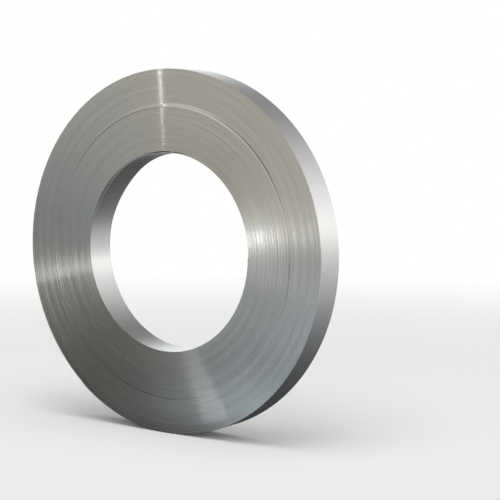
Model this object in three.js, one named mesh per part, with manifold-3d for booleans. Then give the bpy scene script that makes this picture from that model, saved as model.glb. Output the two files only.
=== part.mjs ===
// Slit steel coil: one long narrow strip wound on itself, standing on its rim with its axis along Y.
// Millimetres, +Z up. The near end faces -Y. The origin is on the floor, below the middle of the coil.
//
// The winding is an Archimedean spiral. Its radius grows by one strip thickness in each turn, so the
// bore has a step where the strip begins and the rim has a step where it ends. The laps shifted a little
// along the axis as they were wound, in groups. As the strip has the same width all along, a group that
// stands proud of one end is set back by the same amount at the other.

import * as THREE from 'three';
import { mergeGeometries, mergeVertices } from 'three/addons/utils/BufferGeometryUtils.js';
import Module from 'manifold-3d';

// ---- driving dimensions -------------------------------------------------------------------------

const stripWidth = 80;            // the slit width, along the coil's axis
const stripThickness = 2;         // one lap's build-up
const boreRadius = 254;           // wound on a 508 mm (20 inch) mandrel
const edgeRollover = 0.4;         // the slitter rounds the strip's corners by about this much

// Laps in each group, from the bore outwards, and how far the group has shifted towards -Y.
const lapGroups = [
  { laps: 3, shift: 0.0 },
  { laps: 6, shift: 0.5 },
  { laps: 5, shift: -0.1 },
  { laps: 7, shift: 0.3 },
  { laps: 6, shift: -0.4 },
  { laps: 5, shift: 0.4 },
  { laps: 6, shift: 0.0 },
  { laps: 6, shift: -0.3 },
  { laps: 6, shift: 0.3 },
  { laps: 6, shift: -0.1 },
  { laps: 2, shift: -0.9 },       // set back under the slipped laps
  { laps: 4, shift: 1.6 },        // the slipped laps, which stand out as a ring
  { laps: 2, shift: -0.9 },       // and set back over them
  { laps: 6, shift: 0.1 },
  { laps: 5, shift: -0.3 },
  { laps: 7, shift: 0.3 },
  { laps: 6, shift: -0.2 },
  { laps: 7, shift: 0.4 },
  { laps: 5, shift: 0.0 },
  { laps: 5, shift: -0.3 },
];

const headAngle = 90;             // degrees clockwise from the top, as seen from -Y: start, in the bore
const tailFacets = 25;            // the outer end lies this many facets past the start, on the rim
const facetsPerHalfTurn = 35;     // odd, so that a facet and not a corner is at the bottom

const steel = { color: 0x9d9c98, roughness: 0.32, metalness: 1 };

// ---- sizes worked out from them -----------------------------------------------------------------

const wholeLaps = lapGroups.reduce((sum, group) => sum + group.laps, 0);
const windingOuter = boreRadius + wholeLaps * stripThickness;
const rimShift = lapGroups[lapGroups.length - 1].shift;

// ---- section through the winding ----------------------------------------------------------------

// The edge line of one end, as (radius, shift) from the bore to the rim: a terrace for each group.
function terraces() {
  const line = [];
  let radius = boreRadius;
  for (const { laps, shift } of lapGroups) {
    line.push([radius, shift]);
    radius += laps * stripThickness;
    line.push([radius, shift]);
  }
  return line;
}

// A closed section from an edge line: out along the end at -Y, and back along the end at +Y.
// The first and last points of the line get the strip's rounded corner as a small chamfer.
function sectionFrom(line) {
  const near = line.map(([radius, shift]) => new THREE.Vector2(radius, -stripWidth / 2 - shift));
  const far = line.map(([radius, shift]) => new THREE.Vector2(radius, stripWidth / 2 - shift));
  return [...withCorners(near, 1), ...withCorners(far, -1).reverse()];
}

// inwards is +1 for the end at -Y and -1 for the end at +Y: the way from the end into the strip.
function withCorners(end, inwards) {
  const first = end[0];
  const last = end[end.length - 1];
  return [
    new THREE.Vector2(first.x, first.y + inwards * edgeRollover),
    new THREE.Vector2(first.x + edgeRollover, first.y),
    ...end.slice(1, -1),
    new THREE.Vector2(last.x - edgeRollover, last.y),
    new THREE.Vector2(last.x, last.y + inwards * edgeRollover),
  ];
}

// ---- winding ------------------------------------------------------------------------------------

const degrees = THREE.MathUtils.degToRad;
const facetAngle = 180 / facetsPerHalfTurn;

// The radius grows by one strip thickness for each whole turn, which is two half turns of facets.
const growthAt = (facet) => (stripThickness * facet) / (2 * facetsPerHalfTurn);

// Places on a grid that 32-bit numbers hold exactly, so that faces that should meet do meet.
const onGrid = (value) => Math.round(value * 8192) / 8192;

function moveEachPoint(geometry, move) {
  const position = geometry.getAttribute('position');
  const point = new THREE.Vector3();
  for (let i = 0; i < position.count; i++) {
    move(point.fromBufferAttribute(position, i), i);
    position.setXYZ(i, onGrid(point.x), onGrid(point.y), onGrid(point.z));
  }
  return geometry;
}

// The turned skin from one facet to another, moved out along the spiral.
function windingSkin(section, fromFacet, toFacet) {
  const outline = [...section, section[0]];
  const start = degrees(headAngle + fromFacet * facetAngle);
  const sweep = degrees((toFacet - fromFacet) * facetAngle);
  const skin = new THREE.LatheGeometry(outline, toFacet - fromFacet, start, sweep);
  return moveEachPoint(skin, (point, i) => {
    const radius = Math.hypot(point.x, point.z);
    const scale = 1 + growthAt(fromFacet + Math.floor(i / outline.length)) / radius;
    point.set(point.x * scale, point.y, point.z * scale);
  });
}

// The flat face that closes a stretch of winding, in a plane through the axis.
function cutFace(section, facet, facesForward) {
  const face = new THREE.ShapeGeometry(new THREE.Shape(section));
  if (facesForward) face.index.array.reverse();
  face.translate(growthAt(facet), 0, 0);
  face.rotateY(degrees(headAngle + facet * facetAngle - 90));
  return moveEachPoint(face, () => {});
}

// One stretch of the winding as a closed solid. Facets are counted from the strip's start.
function wind(section, fromFacet, toFacet) {
  return solidFrom([
    windingSkin(section, fromFacet, toFacet),
    cutFace(section, fromFacet, false),
    cutFace(section, toFacet, true),
  ]);
}

// ---- solids -------------------------------------------------------------------------------------

const wasm = await Module();
wasm.setup();

function weld(geometries) {
  for (const geometry of geometries) {
    geometry.deleteAttribute('normal');
    geometry.deleteAttribute('uv');
  }
  return mergeVertices(mergeGeometries(geometries), 1e-3);
}

function solidFrom(geometries) {
  const welded = weld(geometries);
  const triVerts = Uint32Array.from(welded.index.array);
  const mesh = new wasm.Mesh({ numProp: 3, vertProperties: welded.getAttribute('position').array, triVerts });
  return new wasm.Manifold(mesh);
}

function geometryFrom(solid) {
  const mesh = solid.getMesh();
  const geometry = new THREE.BufferGeometry();
  geometry.setAttribute('position', new THREE.BufferAttribute(mesh.vertProperties, mesh.numProp));
  geometry.setIndex(new THREE.BufferAttribute(mesh.triVerts, 1));
  geometry.computeVertexNormals();
  return geometry;
}

// All whole laps, in two half turns, and the part lap outside them that ends at the strip's tail.
// The part lap is sunk half a strip into the laps below it, so that they fuse.
function windCoil() {
  const laps = sectionFrom(terraces());
  const lastLap = sectionFrom([
    [windingOuter - stripThickness / 2, rimShift],
    [windingOuter + stripThickness, rimShift],
  ]);
  const firstHalf = wind(laps, 0, facetsPerHalfTurn);
  const secondHalf = wind(laps, facetsPerHalfTurn, 2 * facetsPerHalfTurn);
  return firstHalf.add(secondHalf).add(wind(lastLap, 0, tailFacets));
}

// ---- the part -----------------------------------------------------------------------------------

const coil = new THREE.Mesh(geometryFrom(windCoil()), new THREE.MeshStandardMaterial(steel));
coil.name = 'steel_coil';

// Stands the coil on the floor, with the middle of its box over the origin.
coil.geometry.computeBoundingBox();
const { min, max } = coil.geometry.boundingBox;
coil.position.set(-(min.x + max.x) / 2, -(min.y + max.y) / 2, -min.z);

const part = new THREE.Group();
part.add(coil);

export default part;
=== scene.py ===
# A slit steel coil standing on its rim: the wound strip with its two finishes,
# a pale floor, studio light and the camera.

import math

import bpy
import numpy as np
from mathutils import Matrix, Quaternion, Vector


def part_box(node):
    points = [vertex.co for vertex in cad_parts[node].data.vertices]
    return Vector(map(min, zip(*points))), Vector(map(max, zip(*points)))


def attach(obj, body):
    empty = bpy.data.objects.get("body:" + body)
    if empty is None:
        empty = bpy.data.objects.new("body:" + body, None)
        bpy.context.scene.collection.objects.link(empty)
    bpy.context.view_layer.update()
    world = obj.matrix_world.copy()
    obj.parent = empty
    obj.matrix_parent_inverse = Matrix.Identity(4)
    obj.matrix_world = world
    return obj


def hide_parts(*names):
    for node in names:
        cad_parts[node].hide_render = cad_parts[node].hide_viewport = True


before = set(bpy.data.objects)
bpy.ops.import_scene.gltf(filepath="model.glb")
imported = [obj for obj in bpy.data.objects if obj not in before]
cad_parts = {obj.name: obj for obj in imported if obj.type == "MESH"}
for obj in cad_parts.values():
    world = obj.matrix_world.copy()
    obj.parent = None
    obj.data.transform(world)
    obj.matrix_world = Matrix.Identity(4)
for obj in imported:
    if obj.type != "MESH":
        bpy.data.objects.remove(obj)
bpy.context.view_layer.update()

coilLow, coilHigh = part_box("steel_coil")
coilMiddle = (coilLow + coilHigh) / 2
mm = 0.001
fullTurn = 2 * math.pi
perRadian = 180 / math.pi     # degrees


class Sock:
    # wraps an output socket, so that a * 0.5 + b adds its Math nodes
    def __init__(self, maker, socket):
        self.maker, self.socket = maker, socket

    def __add__(self, other):
        return self.maker.math("ADD", self, other)

    def __radd__(self, other):
        return self.maker.math("ADD", other, self)

    def __sub__(self, other):
        return self.maker.math("SUBTRACT", self, other)

    def __rsub__(self, other):
        return self.maker.math("SUBTRACT", other, self)

    def __mul__(self, other):
        return self.maker.math("MULTIPLY", self, other)

    def __rmul__(self, other):
        return self.maker.math("MULTIPLY", other, self)

    def __truediv__(self, other):
        return self.maker.math("DIVIDE", self, other)

    def __rtruediv__(self, other):
        return self.maker.math("DIVIDE", other, self)

    def __pow__(self, other):
        return self.maker.math("POWER", self, other)

    def __rpow__(self, other):
        return self.maker.math("POWER", other, self)


class NodeMaker:
    def __init__(self, tree):
        self.tree = tree
        tree.nodes.clear()

    def add(self, kind, settings=None, inputs=None, output=0):
        node = self.tree.nodes.new(kind)
        for name, value in (settings or {}).items():
            setattr(node, name, value)
        for name, value in (inputs or {}).items():
            if isinstance(value, Sock):
                self.tree.links.new(value.socket, node.inputs[name])
            else:
                node.inputs[name].default_value = value
        if not node.outputs:
            return node
        return Sock(self, node.outputs[output])

    def math(self, operation, *values):
        return self.add("ShaderNodeMath", {"operation": operation}, dict(enumerate(values)))


def newMaterial(name):
    material = bpy.data.materials.new(name)
    material.use_nodes = True
    return material, NodeMaker(material.node_tree)


strip = {
    "boreRadius": 254 * mm,       # wound on a 508 mm mandrel
    "thickness": 2 * mm,
    "width": 80 * mm,
    "gap": 0.03 * mm,             # air between laps
    "headAngle": 90,              # where it starts: degrees clockwise from the top, seen from the near end
    "tailTurns": 25 / 70,         # turns that the last lap runs past the start's place
    "segmentsPerTurn": 112,       # gives the tail a whole number of segments too
    "rollover": 0.15 * mm,        # bevel of the slit corners
    "lapJitter": 0.10 * mm,       # how unevenly single laps were laid
    "lapSpacing": 0.61,           # turns from one change of that to the next
    "groupDrift": 0.12 * mm,      # how unevenly a few laps together were laid
    "groupSpacing": 3.7,
    "edgeTilt": 0.012 * mm,       # how far a slit edge leans over its thickness
    "tiltSpacing": 0.83,
    "groupSpread": 0.5,           # turns by which a group starts early or late
    "driftBlend": 1.2,            # turns over which the strip moves from one group's place to the next's
    "slipBlend": 0.24,            # the same at the slipped groups
    "seed": 7,
}

# where the first lap has sprung off the next one: the turn, the reach in turns and the gap
sprungPlaces = [(0.605, 0.075, 3.4 * mm), (0.745, 0.055, 2.2 * mm), (0.67, 0.16, 0.5 * mm)]

# laps in each group from the bore outwards, and the group's shift towards the near end in mm
lapGroups = [
    (3, 0.0), (6, 0.5), (5, -0.1), (7, 0.3), (6, -0.4), (5, 0.4), (6, 0.0), (6, -0.3), (6, 0.3), (6, -0.1),
    (1, -2.0), (3, 1.4), (2, -2.2),        # the slipped laps between two groups that are set back
    (8, 0.1), (5, -0.3), (7, 0.3), (6, -0.2), (7, 0.4), (5, 0.0), (5, -0.3),
]

slip = {
    "middles": {10: 0.68, 11: 0.80, 12: 0.88},     # by group: the turn at which it slipped furthest
    "reach": 0.13,                # turns to each side over which that fades
    "elsewhere": 0.20,            # share of the slip that is left on the other side
    # painted highlight and painted shade: where the slipped laps' edge colour is made lighter and where
    # darker: turn, reach in turns, first and last lap, and how much
    "paintedLight": [
        (0.80, 0.08, 57.0, 62.4, 0.42), (0.13, 0.055, 59.0, 61.8, 0.26), (0.46, 0.045, 59.0, 62.0, 0.28),
        (0.45, 0.04, 62.8, 63.8, -0.22), (0.29, 0.08, 59.8, 61.2, -0.42), (0.014, 0.035, 59.6, 61.8, -0.28),
    ],
    "paintedLightBorder": 0.3,            # laps to each side over which each painted highlight and shade begins and ends
}


def eased(share):
    # from 0 to 1 with a soft start and a soft end
    return share ** 2 * (3 - 2 * share)


def hump(away, reach):
    # 1 in the middle, falling softly to 0 at the reach
    return np.clip(1 - (away / reach) ** 2, 0, 1) ** 2


def smoothNoise(places, spacing, random):
    # one-dimensional value noise from -1 to 1, eased between its points, with some to spare at the end
    count = int(places.max() / spacing) + 3
    values = random.uniform(-1, 1, count)
    at = places / spacing
    low = at.astype(int)
    ease = eased(at - low)
    return values[low] * (1 - ease) + values[low + 1] * ease


def groupShift(turns, blend, shifts, offsets):
    # each group's shift in metres, eased into the next one's where the two meet
    shift = np.full_like(turns, shifts[0])
    boundary = 0
    for (laps, _), before, after, offset in zip(lapGroups, shifts, shifts[1:], offsets):
        boundary += laps
        step = np.clip((turns - boundary - offset) / blend + 0.5, 0, 1)
        shift += (after - before) * eased(step)
    return shift * mm


def slipShare(turns, middle):
    # how much of a group's slip there is at each place of the turn
    away = (turns - middle + 0.5) % 1 - 0.5
    return slip["elsewhere"] + (1 - slip["elsewhere"]) * hump(away, slip["reach"])


def sprungGap(turns):
    # how far the strip has sprung into the bore
    gap = np.zeros_like(turns)
    for middle, reach, depth in sprungPlaces:
        gap += depth * hump(turns - middle, reach)
    return gap


def stripRings(s):
    # places along the strip: angle, inner radius, shift along the axis and tilt of the slit edges
    random = np.random.default_rng(s["seed"])
    shifts = [shift for _, shift in lapGroups]
    totalTurns = sum(laps for laps, _ in lapGroups) + s["tailTurns"]
    turns = np.linspace(0, totalTurns, round(totalTurns * s["segmentsPerTurn"]) + 1)
    angle = math.radians(s["headAngle"]) + fullTurn * turns
    radius = s["boreRadius"] + s["thickness"] * turns - sprungGap(turns)
    steady = [0 if group in slip["middles"] else value for group, value in enumerate(shifts)]
    starts = random.uniform(-s["groupSpread"], s["groupSpread"], len(lapGroups))
    onTime = np.zeros(len(lapGroups))
    shift = groupShift(turns, s["driftBlend"], steady, starts)
    for slipped, middle in slip["middles"].items():
        alone = [value if group == slipped else 0 for group, value in enumerate(shifts)]
        shift += groupShift(turns, s["slipBlend"], alone, onTime) * slipShare(turns, middle)
    shift += s["lapJitter"] * smoothNoise(turns, s["lapSpacing"], random)
    shift += s["groupDrift"] * smoothNoise(turns, s["groupSpacing"], random)
    tilt = s["edgeTilt"] * smoothNoise(turns, s["tiltSpacing"], random)
    return angle, radius, shift, tilt


def markSharpEdges(mesh, sideCount):
    # the edges that run along the strip are sharp, so that only the winding itself is smooth
    ends = np.empty(len(mesh.edges) * 2, np.int32)
    mesh.edges.foreach_get("vertices", ends)
    ends = ends.reshape(-1, 2)
    sharp = ends[:, 0] // sideCount != ends[:, 1] // sideCount
    mesh.attributes.new("sharp_edge", "BOOLEAN", "EDGE").data.foreach_set("value", sharp)


def buildStrip(s):
    angle, radius, shift, tilt = stripRings(s)
    thick = s["thickness"] - s["gap"]
    half, roll = s["width"] / 2, s["rollover"]
    # section round the strip, as (out from the lap's inner face, along the axis, share of the edge's tilt)
    near = [(0, -half + roll, 0), (roll, -half, -1), (thick - roll, -half, 1), (thick, -half + roll, 1)]
    far = [(thick, half - roll, 1), (thick - roll, half, 1), (roll, half, -1), (0, half - roll, 0)]
    section = near + far
    rings = []
    for out, along, lean in section:
        r = radius + out
        y = along - shift + lean * tilt
        rings.append(np.stack([r * np.sin(angle), r * np.cos(angle), -y], axis=1))
    vertices = np.stack(rings, axis=1).reshape(-1, 3)
    sideCount, ringCount = len(section), len(angle)
    ring = np.arange(ringCount - 1)[:, None] * sideCount
    nextRing = ring + sideCount
    here = np.arange(sideCount)[None, :]
    after = (here + 1) % sideCount
    quads = np.stack([ring + here, nextRing + here, nextRing + after, ring + after], axis=2)
    faces = quads.reshape(-1, 4).tolist()
    faces.append(list(range(sideCount)))
    faces.append([(ringCount - 1) * sideCount + i for i in reversed(range(sideCount))])
    mesh = bpy.data.meshes.new("wound_strip")
    mesh.from_pydata(vertices.tolist(), [], faces)
    # sides 3 and 7 of the section are the strip's wide faces, with the first material, and the rest was cut
    wide, cut = 0, 1
    ofSides = [wide if i in (3, 7) else cut for i in range(sideCount)]
    materialIndex = np.array(ofSides * (ringCount - 1) + [cut, cut], np.int32)
    mesh.polygons.foreach_set("material_index", materialIndex)
    mesh.shade_smooth()
    markSharpEdges(mesh, sideCount)
    mesh.validate()
    mesh.update()
    return mesh


def placeCoil(mesh):
    # the mesh is wound about its own Z, which the object turns to lie along Y, and stands on the floor
    coil = bpy.data.objects.new("wound_strip", mesh)
    bpy.context.scene.collection.objects.link(coil)
    coil.rotation_euler = (math.radians(90), 0, 0)
    lowest = min(vertex.co.y for vertex in mesh.vertices)
    coil.location = (coilMiddle.x, coilMiddle.y, coilLow.z - lowest)
    return coil


def vectorMath(nodes, operation, first, second=None, scale=None):
    inputs = {0: first}
    if second is not None:
        inputs[1] = second
    if scale is not None:
        inputs["Scale"] = scale
    return nodes.add("ShaderNodeVectorMath", {"operation": operation}, inputs)


def smoothStep(nodes, value, start, end):
    settings = {"interpolation_type": "SMOOTHSTEP"}
    return nodes.add("ShaderNodeMapRange", settings, {"Value": value, "From Min": start, "From Max": end})


def bell(nodes, squared):
    # falls off as a bell curve, from the square of how far away a place is
    return nodes.math("EXPONENT", -1 * squared)


def splitVector(nodes, vector):
    x = nodes.add("ShaderNodeSeparateXYZ", inputs={0: vector})
    return [Sock(nodes, output) for output in x.socket.node.outputs]


def objectPlace(nodes):
    return splitVector(nodes, nodes.add("ShaderNodeTexCoord", output="Object"))


def windingPlace(nodes, s):
    # where a point lies on the winding: across it in laps, round it in turns, and along the strip in turns
    x, y, _ = objectPlace(nodes)
    start = 1 - s["headAngle"] / 360
    turn = nodes.math("FRACT", nodes.math("ARCTAN2", x, y) / fullTurn + start)
    # the mesh cuts each round segment short to a straight one, which is taken out of the radius again
    halfSegment = math.pi / s["segmentsPerTurn"]
    inSegment = nodes.math("FRACT", turn * s["segmentsPerTurn"])
    offMiddle = (inSegment * 2 - 1) * halfSegment
    radius = (x * x + y * y) ** 0.5 * ((halfSegment ** 2 / 2 + 1) - offMiddle * offMiddle * 0.5)
    across = (radius - s["boreRadius"]) / s["thickness"]
    lapPlace = across - turn
    lap = nodes.math("FLOOR", lapPlace)
    flat = nodes.add("ShaderNodeCombineXYZ", inputs={0: x, 1: y, 2: 0.0})
    return {
        "across": across, "turn": turn, "inLap": lapPlace - lap, "along": lap + turn,
        "outward": vectorMath(nodes, "NORMALIZE", flat),
    }


def noise(nodes, place, scale, detail=2.0, roughness=0.5):
    inputs = {"W": place * scale, "Scale": 1.0, "Detail": detail, "Roughness": roughness}
    return nodes.add("ShaderNodeTexNoise", {"noise_dimensions": "1D"}, inputs)


def tiltedNormal(nodes, direction, slope):
    # leans the surface's own normal along a direction given in the object's frame
    settings = {"vector_type": "VECTOR", "convert_from": "OBJECT", "convert_to": "WORLD"}
    world = nodes.add("ShaderNodeVectorTransform", settings, {0: direction})
    normal = nodes.add("ShaderNodeNewGeometry", output="Normal")
    lean = vectorMath(nodes, "SCALE", world, scale=slope)
    return vectorMath(nodes, "NORMALIZE", vectorMath(nodes, "ADD", normal, lean))


def brushedSteel(nodes, finish, colour, roughness, normal):
    shader = nodes.add("ShaderNodeBsdfPrincipled", inputs={
        "Base Color": colour,
        "Metallic": 1.0,
        "Roughness": roughness,
        "Anisotropic": finish["anisotropy"],
        "Anisotropic Rotation": finish["turn"],
        "Normal": normal,
    })
    nodes.add("ShaderNodeOutputMaterial", inputs={"Surface": shader})


# a noise's scale is how often it changes in one turn of the strip, or in one lap outwards for the groups
edgeFinish = {
    "colour": (0.53, 0.53, 0.52),
    "roughness": 0.08,             # of the part of a slit edge that the knife has burnished
    "tornRoughness": 0.36,         # of the part where the steel tore
    "tornShare": 0.24,             # least share of the edge that is torn
    "tornSpread": 0.22,            # how much more of it may be
    "tornScale": 4.1,
    "tornStart": 70,               # where the noise is read, so that the torn part has its own
    "tornRange": (0.35, 0.65),     # the noise at which the least and the most of it is torn
    "tornInner": 0.20,             # how much more of it is torn on the first laps
    "tornInnerLaps": 14,           # laps over which that dies away
    "tornBorder": 0.05,            # half the soft border between the two parts
    "anisotropy": 1.0,
    "turn": 0.25,                  # lays the brushing along the strip
    "barrel": 0.11,                # how round a slit edge is from one corner to the other
    "barrelEnd": 0.03,             # keeps the slope at the corners finite
    "lapLean": 0.03,               # how far the few laps lean that lean most
    "lapLeanScale": 5.3,
    "groupLean": 0.006,
    "groupLeanScale": 0.21,
    "lapTone": 0.10,               # how much the colour differs from lap to lap
    "lapToneScale": 1.7,
    "groupTone": 0.05,
    "groupToneScale": 0.35,
    "groupToneStart": 40,
}

faceFinish = {
    "colour": (0.60, 0.60, 0.60),
    "roughness": 0.22,
    "anisotropy": 1.0,
    "turn": 0.25,
    "rollLines": 0.10,             # how far the faint lines along the strip lean
    "lineSpacing": 1.5 * mm,
}


def slipPaintedLight(nodes, place):
    # painted highlight and painted shade: the slipped laps' edges are coloured lighter in some parts of the
    # turn and darker in others
    total = 0.0
    border = slip["paintedLightBorder"]
    for middle, reach, firstLap, lastLap, tone in slip["paintedLight"]:
        away = nodes.math("WRAP", place["turn"] - middle, 0.5, -0.5) / reach
        inTurn = bell(nodes, away * away)
        begun = smoothStep(nodes, place["along"], firstLap - border, firstLap + border)
        inside = begun * smoothStep(nodes, place["along"], lastLap + border, lastLap - border)
        total = inside * inTurn * tone + total
    return total


def edgeSlope(nodes, place, f):
    # how far the edge leans outwards: barrelled within a lap, and a little askew from lap to lap
    inEdge = place["inLap"] * 2 - 1
    barrel = inEdge * f["barrel"] / (1 + f["barrelEnd"] - inEdge * inEdge) ** 0.5
    lapNoise = noise(nodes, place["along"], f["lapLeanScale"], detail=3.0) - 0.5
    groupNoise = noise(nodes, place["across"], f["groupLeanScale"]) - 0.5
    # the noise reaches half, and its cube an eighth, which keeps most laps straight
    lapLean = lapNoise * lapNoise * lapNoise * (8 * f["lapLean"])
    return barrel + lapLean + groupNoise * (2 * f["groupLean"])


def edgeRoughness(nodes, place, f):
    # the inner part of each lap's edge is torn and rough, the outer part burnished
    tornNoise = noise(nodes, place["along"] + f["tornStart"], f["tornScale"])
    innermost = nodes.math("EXPONENT", place["across"] / -f["tornInnerLaps"])
    spread = smoothStep(nodes, tornNoise, *f["tornRange"]) * f["tornSpread"]
    tornEnd = spread + f["tornShare"] + innermost * f["tornInner"]
    torn = smoothStep(nodes, place["inLap"], tornEnd + f["tornBorder"], tornEnd - f["tornBorder"])
    return torn * (f["tornRoughness"] - f["roughness"]) + f["roughness"]


def edgeColour(nodes, place, f):
    lapTone = noise(nodes, place["along"], f["lapToneScale"], detail=4.0, roughness=0.7) - 0.5
    groupTone = noise(nodes, place["across"] + f["groupToneStart"], f["groupToneScale"]) - 0.5
    # besides the laps' own tone, the colour carries the slipped laps' painted highlight and painted shade
    tone = lapTone * f["lapTone"] + groupTone * f["groupTone"] + slipPaintedLight(nodes, place) + 1.0
    return vectorMath(nodes, "SCALE", f["colour"], scale=tone)


def slitEdgeMaterial(f):
    material, nodes = newMaterial("slitEdge")
    place = windingPlace(nodes, strip)
    normal = tiltedNormal(nodes, place["outward"], edgeSlope(nodes, place, f))
    brushedSteel(nodes, f, edgeColour(nodes, place, f), edgeRoughness(nodes, place, f), normal)
    return material


def stripFaceMaterial(f):
    material, nodes = newMaterial("stripFace")
    _, _, height = objectPlace(nodes)
    lines = noise(nodes, height, 1 / f["lineSpacing"], detail=4.0, roughness=0.7) - 0.5
    alongAxis = (0, 0, 1)
    normal = tiltedNormal(nodes, alongAxis, lines * (2 * f["rollLines"]))
    brushedSteel(nodes, f, (*f["colour"], 1), f["roughness"], normal)
    return material


mesh = buildStrip(strip)
mesh.materials.append(stripFaceMaterial(faceFinish))
mesh.materials.append(slitEdgeMaterial(edgeFinish))
coil = placeCoil(mesh)
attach(coil, "root")
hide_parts("steel_coil")
print("strip wound:", len(mesh.polygons), "faces")


floor = {
    "colour": (0.85, 0.85, 0.85),
    "roughness": 0.9,
    "size": 60.0,
    "fadeStart": 1.0,              # metres from the coil's middle where the floor starts to fade into white
    "fadeEnd": 4.0,
}

room = {
    "backdrop": (1, 1, 1),
    "fill": 0.60,                  # the even light from all round that the floor gets
    "dark": 0.06,                  # the unlit parts of the studio
    "eyeHeight": 0.466,            # the height from which polished metal sees the floor
}

# where the white backdrop hangs, in degrees round the coil (0 before the near end, 90 to its right) and up
backdropSpan = {"azimuth": 215, "elevation": 6, "wide": 35, "high": 12, "level": 1.0}

# soft glows on the studio's walls and floor, each fading out from its middle
studioGlows = {
    "front": {"azimuth": -28, "elevation": -11, "wide": 14, "high": 13, "level": 0.5, "tint": "plain"},
    "frontHigh": {"azimuth": -33, "elevation": 7, "wide": 14, "high": 8, "level": 0.55, "tint": "amber"},
    "right": {"azimuth": 50, "elevation": 8, "wide": 60, "high": 8, "level": 2.2, "tint": "warm"},
    "rightHigh": {"azimuth": 63, "elevation": 20, "wide": 14, "high": 39, "level": 2.2, "tint": "warm"},
    "rightBack": {"azimuth": 148, "elevation": 11, "wide": 44, "high": 35, "level": 1.2, "tint": "plain"},
    "backLeft": {"azimuth": 235, "elevation": 12, "wide": 60, "high": 10, "level": 2.2, "tint": "cool"},
    "highLeft": {"azimuth": 256, "elevation": 40, "wide": 33, "high": 36, "level": 2.2, "tint": "cool"},
    "floorFront": {"azimuth": 6, "elevation": -15, "wide": 14, "high": 16, "level": 1.75, "tint": "blue"},
    "floorRight": {"azimuth": 73, "elevation": -16, "wide": 14, "high": 9, "level": 1.1, "tint": "plain"},
    "floorNear": {"azimuth": 16, "elevation": -50, "wide": 43, "high": 18, "level": 0.8, "tint": "blue"},
}

tints = {
    "plain": (1, 1, 1), "warm": (1.06, 1.01, 0.90), "amber": (1.12, 1.02, 0.84),
    "cool": (0.97, 1.01, 1.02), "blue": (0.87, 1.01, 1.11),
}

# each soft box's place, aim, roll in degrees, size and brightness, whether it fades towards its edges,
# and what it lights
softBoxes = {
    "overhead": {
        "place": (0.4, -0.6, 3.4), "aim": (0, 0, 0), "roll": 0, "size": (5, 5),
        "radiance": 3.4, "fades": True, "lights": "floor",
    },
    "right": {
        "place": (-0.05, -0.48, 0.467), "aim": (0.3, 0, 0.52), "roll": 0, "size": (0.09, 0.09),
        "radiance": 6.0, "fades": True, "lights": "coil",
    },
    "rightWide": {
        "place": (-0.03, -0.48, 0.47), "aim": (0.3, 0, 0.52), "roll": 0, "size": (0.3, 0.3),
        "radiance": 0.8, "fades": True, "lights": "coil",
    },
    "line": {
        "place": (-5.04, -5.98, 2.63), "aim": (0, 0, 0.83), "roll": 11, "size": (0.06, 1.26),
        "radiance": 6.0, "fades": False, "lights": "coil",
    },
    "low": {
        "place": (-0.32, -0.6, 0.004), "aim": (-0.32, -0.6, 1), "roll": 42.3, "size": (0.074, 1.1),
        "radiance": 0.26, "fades": False, "lights": "coil",
    },
    "left": {
        "place": (-1.68, -1.51, 0.21), "aim": (-0.34, 0, 0.4), "roll": 13.4, "size": (0.8, 0.065),
        "radiance": 0.5, "fades": False, "lights": "coil",
    },
}

lampPower = 4                      # watts per square metre that give an area light a radiance of 1
lampFade = 2                       # a fading lamp's half width, in widths of its bell curve


def azimuthOf(nodes, x, y):
    return nodes.math("ARCTAN2", x, -1 * y) * perRadian


def glowLevel(nodes, glow, azimuth, elevation):
    # one soft glow, falling off round the coil and up and down from its middle
    across = nodes.math("WRAP", azimuth - glow["azimuth"], 180.0, -180.0) / glow["wide"]
    up = (elevation - glow["elevation"]) / glow["high"]
    return bell(nodes, across * across + up * up) * glow["level"]


def studioColour(nodes, azimuth, elevation):
    # how bright the studio is in a direction from the coil, the same on the walls and on the floor
    colour = nodes.add("ShaderNodeCombineXYZ", inputs={0: room["dark"], 1: room["dark"], 2: room["dark"]})
    for glow in studioGlows.values():
        level = glowLevel(nodes, glow, azimuth, elevation)
        lit = vectorMath(nodes, "SCALE", tints[glow["tint"]], scale=level)
        colour = vectorMath(nodes, "ADD", colour, lit)
    return colour


def floorSheet(f):
    half = f["size"] / 2
    mesh = bpy.data.meshes.new("studioFloor")
    corners = [(-half, -half, 0), (half, -half, 0), (half, half, 0), (-half, half, 0)]
    mesh.from_pydata(corners, [], [(0, 1, 2, 3)])
    sheet = bpy.data.objects.new("studioFloor", mesh)
    bpy.context.scene.collection.objects.link(sheet)
    return sheet


def makeFloor(f):
    sheet = floorSheet(f)
    material, nodes = newMaterial("studioFloor")
    x, y, _ = objectPlace(nodes)
    distance = (x * x + y * y) ** 0.5
    fade = smoothStep(nodes, distance, f["fadeStart"], f["fadeEnd"])
    mattColour = (*f["colour"], 1)
    matt = nodes.add("ShaderNodeBsdfDiffuse", inputs={"Color": mattColour, "Roughness": f["roughness"]})
    white = nodes.add("ShaderNodeEmission", inputs={"Color": (*room["backdrop"], 1), "Strength": 1.0})
    seen = nodes.add("ShaderNodeMixShader", inputs={0: fade, 1: matt, 2: white})
    azimuth = azimuthOf(nodes, x, y)
    elevation = nodes.math("ARCTAN2", room["eyeHeight"], distance) * -perRadian
    lit = nodes.add("ShaderNodeEmission", inputs={"Color": studioColour(nodes, azimuth, elevation)})
    # metal sees the studio's glows on the floor, except where the backdrop comes down to it
    glossy = nodes.add("ShaderNodeLightPath", output="Is Glossy Ray")
    beside = glossy * (1 - glowLevel(nodes, backdropSpan, azimuth, elevation))
    mixed = nodes.add("ShaderNodeMixShader", inputs={0: beside, 1: seen, 2: lit})
    nodes.add("ShaderNodeOutputMaterial", inputs={"Surface": mixed})
    sheet.data.materials.append(material)
    return sheet


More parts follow.
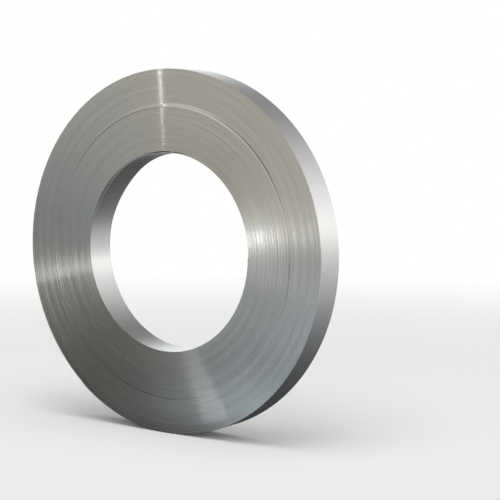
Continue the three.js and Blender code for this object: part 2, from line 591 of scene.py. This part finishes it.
def makeRoom(r):
    world = bpy.data.worlds.new("studioRoom")
    bpy.context.scene.world = world
    world.use_nodes = True
    nodes = NodeMaker(world.node_tree)
    x, y, z = splitVector(nodes, nodes.add("ShaderNodeTexCoord", output="Generated"))
    elevation = nodes.math("ARCSINE", z) * perRadian
    azimuth = azimuthOf(nodes, x, y)
    lit = nodes.add("ShaderNodeBackground", inputs={"Color": studioColour(nodes, azimuth, elevation)})
    even = nodes.add("ShaderNodeBackground", inputs={"Color": (1, 1, 1, 1), "Strength": r["fill"]})
    backdrop = nodes.add("ShaderNodeBackground", inputs={"Color": (*r["backdrop"], 1), "Strength": 1.0})
    fromCamera = nodes.add("ShaderNodeLightPath", output="Is Camera Ray")
    glossy = nodes.add("ShaderNodeLightPath", output="Is Glossy Ray")
    around = nodes.add("ShaderNodeMixShader", inputs={0: glossy, 1: even, 2: lit})
    shown = fromCamera + glossy * glowLevel(nodes, backdropSpan, azimuth, elevation)
    mixed = nodes.add("ShaderNodeMixShader", inputs={0: shown, 1: around, 2: backdrop})
    nodes.add("ShaderNodeOutputWorld", inputs={"Surface": mixed})


def makeSoftBox(name, box, lit):
    # an area light that lights one object only and that the camera doesn't see
    data = bpy.data.lights.new(name, "AREA")
    data.shape = "RECTANGLE"
    data.size, data.size_y = box["size"]
    data.energy = box["radiance"] * lampPower * data.size * data.size_y
    if box["fades"]:
        data.use_nodes = True
        nodes = NodeMaker(data.node_tree)
        u, v, _ = splitVector(nodes, nodes.add("ShaderNodeTexCoord", output="UV"))
        across, up = u * (2 * lampFade) - lampFade, v * (2 * lampFade) - lampFade
        fade = bell(nodes, across * across + up * up)
        glow = nodes.add("ShaderNodeEmission", inputs={"Color": (1, 1, 1, 1), "Strength": fade})
        nodes.add("ShaderNodeOutputLight", inputs={"Surface": glow})
    lamp = bpy.data.objects.new(name, data)
    bpy.context.scene.collection.objects.link(lamp)
    lamp.location = box["place"]
    facing = (Vector(box["aim"]) - Vector(box["place"])).to_track_quat("-Z", "Y")
    turned = facing @ Quaternion((0, 0, 1), math.radians(box["roll"]))
    lamp.rotation_euler = turned.to_euler()
    lamp.visible_camera = False
    receivers = bpy.data.collections.new(name + "Receivers")
    receivers.objects.link(lit)
    lamp.light_linking.receiver_collection = receivers


camera = {
    "place": (2.2101, -2.7862, 0.3257),      # from the centre of the near end
    "look": (-0.57082, 0.81619, -0.08944),
    "lens": 100.8,
    "axis": (-0.5 * mm, 0.5 * mm),           # the bore's axis, across and up from the middle of the box
}


def makeCamera(c):
    data = bpy.data.cameras.new("camera")
    data.lens = c["lens"]
    view = bpy.data.objects.new("camera", data)
    bpy.context.scene.collection.objects.link(view)
    across, up = c["axis"]
    nearCentre = Vector((coilMiddle.x + across, -strip["width"] / 2, coilMiddle.z + up))
    view.location = nearCentre + Vector(c["place"])
    view.rotation_euler = Vector(c["look"]).to_track_quat("-Z", "Y").to_euler()
    bpy.context.scene.camera = view


lightable = {"coil": coil, "floor": makeFloor(floor)}
makeRoom(room)
for name, box in softBoxes.items():
    makeSoftBox(name, box, lightable[box["lights"]])
makeCamera(camera)
bpy.context.scene.view_settings.view_transform = "Standard"
print("studio ready")
